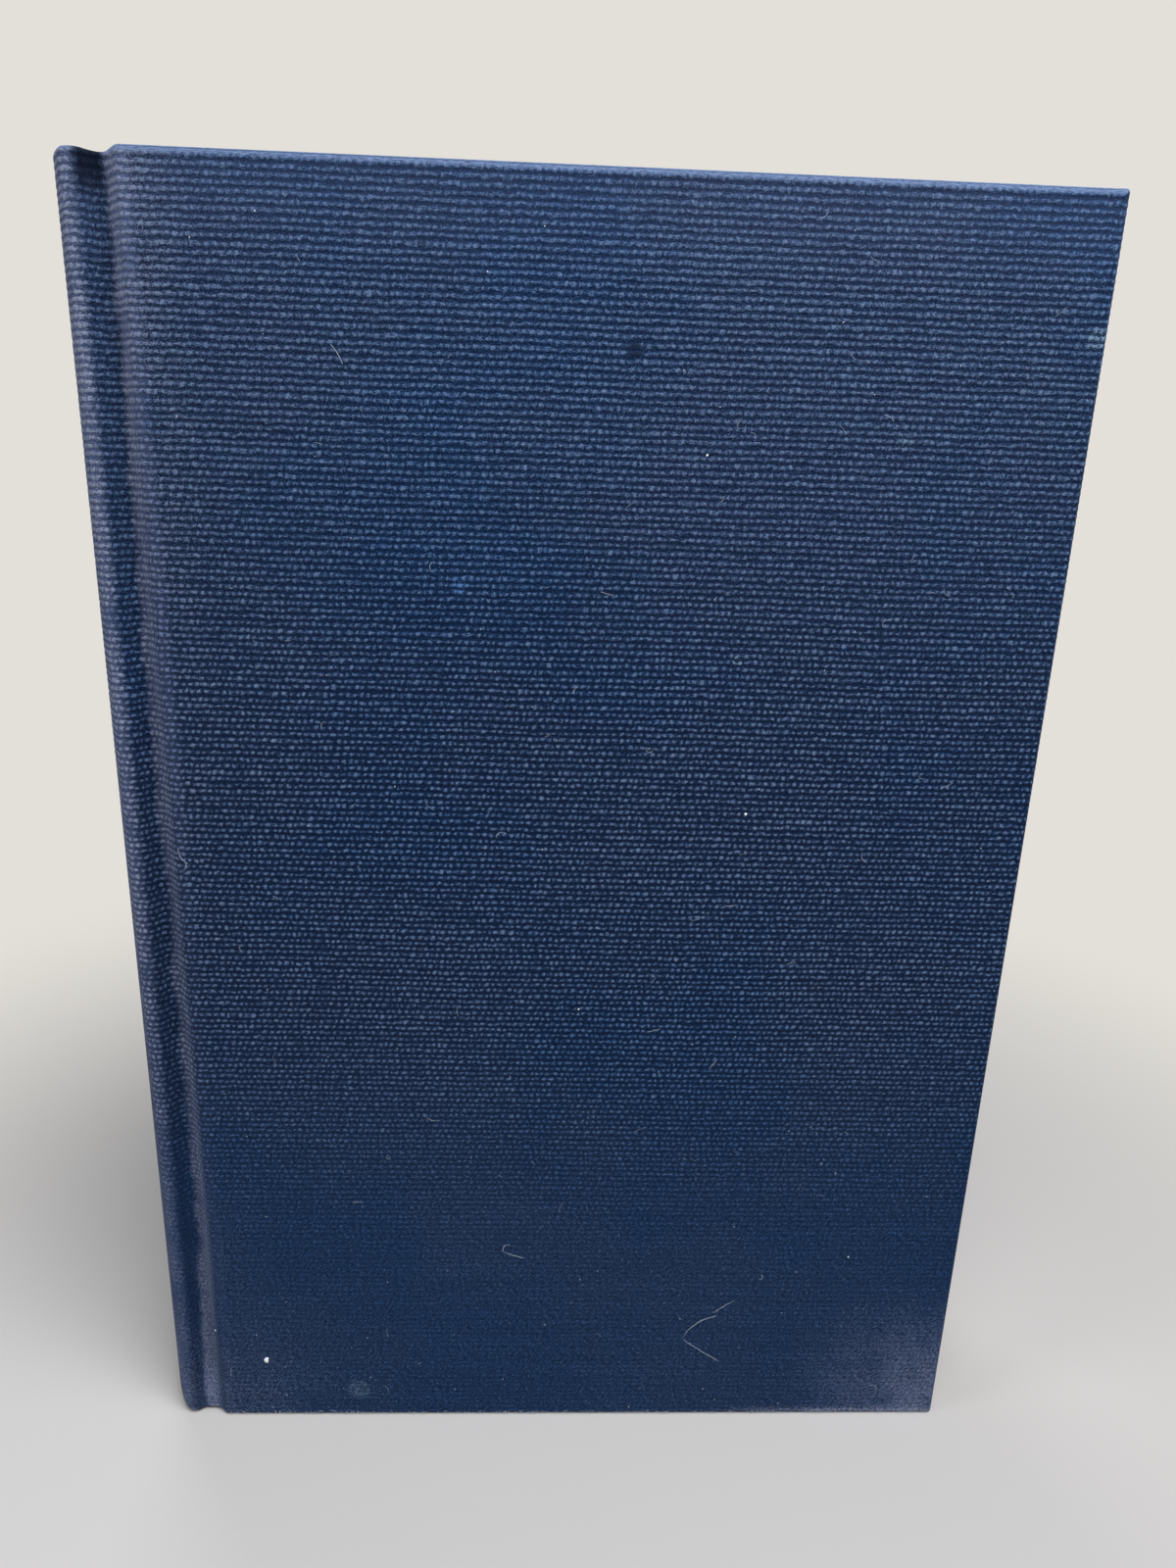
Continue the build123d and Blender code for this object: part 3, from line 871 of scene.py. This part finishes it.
def rubbed_places_and_painted_shade(g, size, z, patchy):
    """Wear on the flank of the spine and on the board's back edge, a lighter band on the floor of the groove,
    and painted shade between the ridge and the groove's floor: rub, haze and painted shade.
    """
    flank = g.step(size, SPINE_END + 3.9, SPINE_END + 0.8)
    flank = g.times(flank, g.plus(g.step(z, 40, 160), g.times(g.step(z, 205, 228), -0.35), 0.45))
    flank = g.times(flank, g.plus(g.times(g.step(size, SPINE_END - 14, SPINE_END - 7), 0.8), 0.2))
    lower = g.plus(size, g.times(g.step(z, 45, 5), 1.2), g.times(g.step(z, 160, 205), -0.8))
    lower = g.plus(lower, g.times(g.plus(patchy, -0.5), 2.4))
    # A lighter band along the floor of the groove, nearer the spine towards the tail
    floor = g.step(lower, GROOVE_END - 0.9, GROOVE_END + 0.6)
    floor = g.times(floor, g.step(lower, GROOVE_END + 5.0, GROOVE_END + 1.2))
    slope = g.step(size, GROOVE_END, GROOVE_END + 1.8)
    slope = g.times(slope, g.step(size, FACE_START + 2, FACE_START))
    knots = g.step(size, FACE_START - 2.5, FACE_START - 0.5)
    knots = g.times(knots, g.step(size, FACE_START + 11, FACE_START - 0.5))
    handled = g.plus(g.times(g.step(z, 105, 150), 0.4), g.times(g.step(z, 200, 225), 0.3), 0.1)
    rubbed = g.times(g.plus(g.times(slope, 0.3), g.times(knots, 0.55)), handled)
    rubbed = g.plus(rubbed, g.times(flank, 1.6), g.times(floor, 1.4))
    rubbed = g.times(rubbed, g.step(patchy, 0.2, 0.65))
    haze = g.plus(g.times(flank, 0.5), g.times(floor, 0.55), g.times(slope, handled, 0.5))
    # Painted shade: the inner side of the ridge and the groove's floor are painted darker, more so in the
    # lower part of the cover
    painted_shade = g.step(size, SPINE_END + 2.4, SPINE_END + 3.6)
    painted_shade = g.times(painted_shade, g.step(lower, GROOVE_END - 1.0, GROOVE_END - 2.2))
    painted_shade = g.times(painted_shade, g.plus(g.times(g.step(z, 160, 100), 0.3), 0.12))
    return rubbed, haze, painted_shade


def dusty_places(g, face_x, z, patchy, felt):
    """Dust at the corners of the tail and along its edge, and haze at the worn corner and the head."""
    corner = g.times(g.step(face_x, 46, 86), g.step(z, 34, 0))
    spine_corner = g.times(g.step(face_x, -40, -62), g.step(z, 30, 0), 0.25)
    tail_edge = g.times(g.step(face_x, 30, 60), g.step(z, 1.2, 0.0), 1.6)
    dusty = g.times(g.plus(corner, spine_corner, tail_edge), g.step(patchy, 0.1, 0.6))
    worn_corner = g.times(corner, g.step(g.plus(patchy, g.times(felt, 0.6)), 0.45, 1.15), 0.65)
    return dusty, g.plus(worn_corner, g.times(g.step(z, 214, 234), 0.14))


def spotted(g, colour, face_x, z, patchy, threads):
    """Colour of the cloth with the spots and thick threads of the front."""
    for spot_x, spot_z, radius, share, tone in SPOTS:
        across_x, across_z = g.plus(face_x, -spot_x), g.plus(z, -spot_z)
        far = g.math("SQRT", g.plus(g.times(across_x, across_x), g.times(across_z, across_z)))
        far = g.plus(far, g.times(g.plus(patchy, -0.5), 2.5 * radius))
        spot = g.times(g.step(far, radius, 0.5 * radius), threads, share)
        colour = g.mix(spot, colour, tone)
    return colour


def make_cloth_material():
    """Navy canvas: thick ribs of short bright floats, dyed unevenly, rubbed and dusty at the edges."""
    g = Graph("navy_canvas")
    u, v, _ = g.place("weave")
    z = g.times(v, RIB_PITCH)
    size = g.math("ABSOLUTE", u)
    face_x = g.plus(u, SHOULDER_X - FACE_START)
    patchy = g.noise(g.point(u, z), 0.13, 4.0, 0.6)
    bright, uneven, fibre, felt = weave_pattern(g, u, v, z)
    threads = g.step(bright, 0.05, 0.85)
    rubbed, haze, painted_shade = rubbed_places_and_painted_shade(g, size, z, patchy)
    dusty, dull = dusty_places(g, face_x, z, patchy, felt)
    colour = dyed_cloth(g, u, v, z, bright)
    # Painted shade in the groove
    colour = g.mix(painted_shade, colour, DEEP)
    colour = g.mix(g.plus(haze, dull), colour, MAUVE)
    colour = g.mix(g.times(g.plus(rubbed, dusty), threads), colour, DUST)

    # The edge at the head, painted lighter blue: partly rubbed, partly painted highlight where it faces the
    # lamp above
    head_edge_wear_and_highlight = g.step(g.plus(v, g.times(uneven, 0.7)), RIBS + 0.3, RIBS + 0.8)
    frayed = g.streaks(u, 0.9, v, 7.0, 3.0, 0.7)
    colour = g.mix(g.times(head_edge_wear_and_highlight, g.step(frayed, 0.25, 0.65), 0.9), colour, EDGE_BLUE)
    colour = spotted(g, colour, face_x, z, patchy, threads)

    # Painted shadow: a near-black patch at the head of each groove, standing in for the shade of a dent there
    dent_shade = g.times(g.step(size, RIDGE_END - 3, RIDGE_END - 1), g.step(size, GROOVE_END + 1, GROOVE_END - 0.5))
    dent_shade = g.times(dent_shade, g.step(g.plus(v, g.times(patchy, 8.0)), RIBS - 3, RIBS + 3), 0.95)
    colour = g.mix(dent_shade, colour, PAINTED_DENT_SHADE)

    height = g.plus(g.times(bright, 0.9), g.times(fibre, 0.4))
    g.set(Base_Color=colour, Normal=g.bump(height, 0.14), Roughness=0.85)
    return g.set(Specular_IOR_Level=0.06, Sheen_Weight=0.015, Sheen_Roughness=0.5)


def make_edge_material():
    """Trimmed edges of the pages, each leaf with its own tone."""
    g = Graph("page_edges")
    leaf, along, _ = g.place("leaves")
    x, y, z = g.place()
    tone = g.random(g.math("FLOOR", leaf), 3.0)
    stain = g.noise(g.point(x, g.times(y, 1.5), z), 0.04, 4.0, 0.6)
    streak = g.streaks(leaf, 0.8, along, 0.35, 3.0, 0.6)
    colour = g.mix(g.times(tone, 0.75), rgb(0.66, 0.60, 0.47), rgb(0.53, 0.46, 0.34))
    colour = g.mix(g.times(g.step(stain, 0.4, 0.75), 0.5), colour, rgb(0.46, 0.37, 0.24))
    colour = g.mix(g.times(g.step(streak, 0.5, 0.8), 0.35), colour, rgb(0.74, 0.69, 0.57))
    return g.set(Base_Color=colour, Roughness=0.88, Normal=g.bump(streak, 0.05), Specular_IOR_Level=0.25)


def make_paper_material():
    """Cream endpaper with a faint tooth, yellowed at its edges."""
    g = Graph("endpaper")
    x, z, _ = g.place("sheet")
    where = g.point(x, z)
    mottle = g.noise(where, 0.06, 4.0, 0.6)
    tooth = g.noise(where, 3.0, 3.0, 0.7)
    fleck = g.step(g.noise(where, 0.9, 2.0), 0.70, 0.78)
    inward = g.math("MINIMUM", g.math("MINIMUM", g.plus(z, -PAGE_TAIL), g.math("SUBTRACT", PAGE_HEAD, z)),
                    g.math("SUBTRACT", PAGE_FORE, x))
    colour = g.mix(g.step(mottle, 0.3, 0.7), rgb(0.74, 0.69, 0.58), rgb(0.69, 0.63, 0.51))
    yellowed = g.times(g.step(inward, 26, 0), g.plus(g.times(mottle, 0.8), 0.1))
    colour = g.mix(yellowed, colour, rgb(0.58, 0.48, 0.33))
    colour = g.mix(g.times(fleck, 0.35), colour, rgb(0.50, 0.38, 0.24))
    return g.set(Base_Color=colour, Roughness=0.85, Normal=g.bump(tooth, 0.03), Specular_IOR_Level=0.3)


def make_band_material():
    """Wound thread in two colours, with painted shade between its turns."""
    g = Graph("headband")
    along, _, _ = g.place("thread")
    turn = g.times(along, 1 / BAND_THREAD)
    tone = g.random(g.math("FLOOR", g.plus(turn, 0.5)))
    pair = g.step(g.math("COSINE", g.times(turn, pi)), -0.2, 0.2)
    groove = g.step(g.math("COSINE", g.times(turn, 2 * pi)), -0.9, -0.2)
    colour = g.mix(pair, rgb(0.60, 0.55, 0.45), rgb(0.09, 0.12, 0.22))
    colour = g.mix(g.times(tone, 0.3), colour, rgb(0.40, 0.36, 0.30))
    # Painted shade: near-black in the hollows between the turns of thread
    colour = g.mix(groove, rgb(0.05, 0.05, 0.06), colour)
    return g.set(Base_Color=colour, Roughness=0.75, Normal=g.bump(groove, 0.08), Specular_IOR_Level=0.3)


def make_lint_material(name, dark, pale):
    """Fibres or dust, between two tones."""
    g = Graph(name)
    x, y, z = g.place()
    tone = g.noise(g.point(x, y, z), 0.35, 2.0)
    colour = g.mix(g.step(tone, 0.3, 0.65), dark, pale)
    return g.set(Base_Color=colour, Roughness=0.9, Specular_IOR_Level=0.2)


def make_plain_material(name, colour, other, scale, relief):
    """Paper, card or board: a mottled colour with fine relief."""
    g = Graph(name)
    x, y, z = g.place()
    where = g.point(x, y, z)
    blotch = g.noise(where, scale, 4.0, 0.6)
    grain = g.noise(where, 6.0, 3.0, 0.7)
    colour = g.mix(g.step(blotch, 0.3, 0.7), rgb(*colour), rgb(*other))
    return g.set(Base_Color=colour, Roughness=0.85, Normal=g.bump(grain, relief), Specular_IOR_Level=0.3)


def give(obj, material):
    """Puts one material on an object."""
    obj.data.materials.clear()
    obj.data.materials.append(material)


def finish_nodes():
    """Finishes of the solids that show as they are."""
    board = make_plain_material("grey_board", (0.30, 0.27, 0.23), (0.24, 0.21, 0.18), 0.2, 0.06)
    card = make_plain_material("inlay_card", (0.42, 0.34, 0.24), (0.36, 0.29, 0.20), 0.15, 0.04)
    mull = make_plain_material("spine_lining", (0.62, 0.55, 0.42), (0.52, 0.45, 0.34), 0.3, 0.08)
    finishes = {"front_board": board, "back_board": board, "spine_inlay": card, "spine_lining": mull}
    for name, material in finishes.items():
        give(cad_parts[name], material)


def fold(piece):
    """Bakes a piece's placement into its mesh."""
    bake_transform(piece)


def dress(piece, material, slot, *nodes):
    """Gives a piece its material, and hides the solids that it stands for."""
    give(piece, material)
    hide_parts(*nodes)


def make_covers():
    """Cloth and endpapers of both covers, and the lint on the front."""
    canvas = make_cloth_material()
    paper = make_paper_material()
    for name, side in SIDES.items():
        cloth = make_case_cloth(f"{name}_case_cloth", side)
        dress(cloth, canvas, "book_cloth", f"{name}_cloth", "spine_cloth")
        fold(cloth)
        glued = make_endpaper(f"{name}_endpaper", side)
        dress(glued, paper, "endpaper", f"{name}_pastedown")
        fold(glued)
        free = make_flyleaf(f"{name}_free_leaf", side)
        dress(free, paper, "endpaper", f"{name}_flyleaf")
        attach(free, "book_block")
    hairs = make_hairs("cover_hairs")
    give(hairs, make_lint_material("hair", rgb(0.28, 0.37, 0.52), rgb(0.58, 0.64, 0.72)))
    specks = make_specks("cover_specks")
    give(specks, make_lint_material("dust_specks", rgb(0.62, 0.66, 0.70), rgb(0.88, 0.90, 0.91)))
    for lint in (hairs, specks):
        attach(lint, "front_cover")


def make_block():
    """The pages and their headbands."""
    pages = make_page_block("page_block")
    dress(pages, make_edge_material(), "page_paper", "text_block")
    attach(pages, "book_block")
    thread = make_band_material()
    for name, edge, way in (("head_band", PAGE_HEAD, 1), ("tail_band", PAGE_TAIL, -1)):
        band = make_band(f"{name}_thread", edge, way)
        dress(band, thread, "headband", name)
        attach(band, "book_block")


# Stage, light and camera

PALE = rgb(0.77, 0.745, 0.695)
LAMP_COLOUR = (0.98, 0.98, 1.0)


def make_world():
    """Soft light from all round, and a pale background."""
    world = bpy.data.worlds.new("studio")
    bpy.context.scene.world = world
    world.use_nodes = True
    nodes, links = world.node_tree.nodes, world.node_tree.links
    light = nodes["Background"]
    light.inputs["Color"].default_value = rgb(0.93, 0.96, 1.0)
    light.inputs["Strength"].default_value = 0.12
    seen = nodes.new("ShaderNodeBackground")
    seen.inputs["Color"].default_value = PALE
    path = nodes.new("ShaderNodeLightPath")
    mix = nodes.new("ShaderNodeMixShader")
    links.new(path.outputs["Is Camera Ray"], mix.inputs[0])
    links.new(light.outputs[0], mix.inputs[1])
    links.new(seen.outputs[0], mix.inputs[2])
    links.new(mix.outputs[0], nodes["World Output"].inputs["Surface"])


def make_floor():
    """A pale floor that fades into the background."""
    bpy.ops.mesh.primitive_circle_add(vertices=96, radius=0.7, fill_type="NGON", location=(0, 0, 0))
    floor = bpy.context.object
    floor.name = "floor"
    g = Graph("pale_floor")
    x, y, _ = g.place()
    far = g.math("SQRT", g.plus(g.times(x, x), g.times(y, y)))
    grain = g.noise(g.point(x, y), 0.02, 3.0)
    tone = g.mix(g.times(grain, 0.12), rgb(0.50, 0.49, 0.48), rgb(0.43, 0.42, 0.41))
    g.set(Base_Color=tone, Roughness=0.9)
    clear = g.node("ShaderNodeBsdfTransparent", {})
    faded = g.node("ShaderNodeMixShader", {0: g.step(far, 110, 320), 1: g.shader.outputs[0], 2: clear})
    g.put(faded, g.tree.nodes["Material Output"].inputs["Surface"])
    give(floor, g.material)


def make_lamp(name, place, target, size, power):
    """A square soft lamp, aimed at a point."""
    lamp = bpy.data.lights.new(name, "AREA")
    lamp.size = size * MM
    lamp.energy = power
    lamp.color = LAMP_COLOUR
    obj = bpy.data.objects.new(name, lamp)
    obj.location = Vector(place) * MM
    obj.rotation_euler = (Vector(target) - Vector(place)).to_track_quat("-Z", "Y").to_euler()
    bpy.context.scene.collection.objects.link(obj)


# The camera: its place, the directions that it looks and stands in, and its focal length
EYE = (-3.70, -194.01, 194.02)
LOOK = (0.0396, 0.9543, -0.2961)
UP = (-0.0214, 0.2970, 0.9546)
FOCAL_PIXELS = 1077.4
FRAME_HEIGHT = 1600
SENSOR = 36.0


def make_camera():
    """The photograph's camera."""
    data = bpy.data.cameras.new("camera")
    data.sensor_fit = "VERTICAL"
    data.sensor_height = SENSOR
    data.lens = SENSOR * FOCAL_PIXELS / FRAME_HEIGHT
    data.clip_start = 0.01
    camera = bpy.data.objects.new("camera", data)
    back = -Vector(LOOK).normalized()
    right = Vector(UP).cross(back).normalized()
    above = back.cross(right)
    turn = Matrix((right, above, back)).transposed().to_4x4()
    camera.matrix_world = Matrix.Translation(Vector(EYE) * MM) @ turn
    bpy.context.scene.collection.objects.link(camera)
    bpy.context.scene.camera = camera


def make_stage():
    """Background, floor, lamps and camera."""
    make_world()
    make_floor()
    make_lamp("key", (120, -215, 540), (0, -20, 130), 330, 4.0)
    make_lamp("side", (-600, -250, 250), (-60, -15, 100), 250, 1.7)
    make_lamp("fill", (500, -700, 300), (20, 0, 90), 400, 0.5)
    make_lamp("rear", (-300, 640, 430), (0, 20, 110), 450, 2.4)
    make_camera()
    bpy.context.scene.view_settings.view_transform = "Standard"


make_covers()
make_block()
finish_nodes()
make_stage()
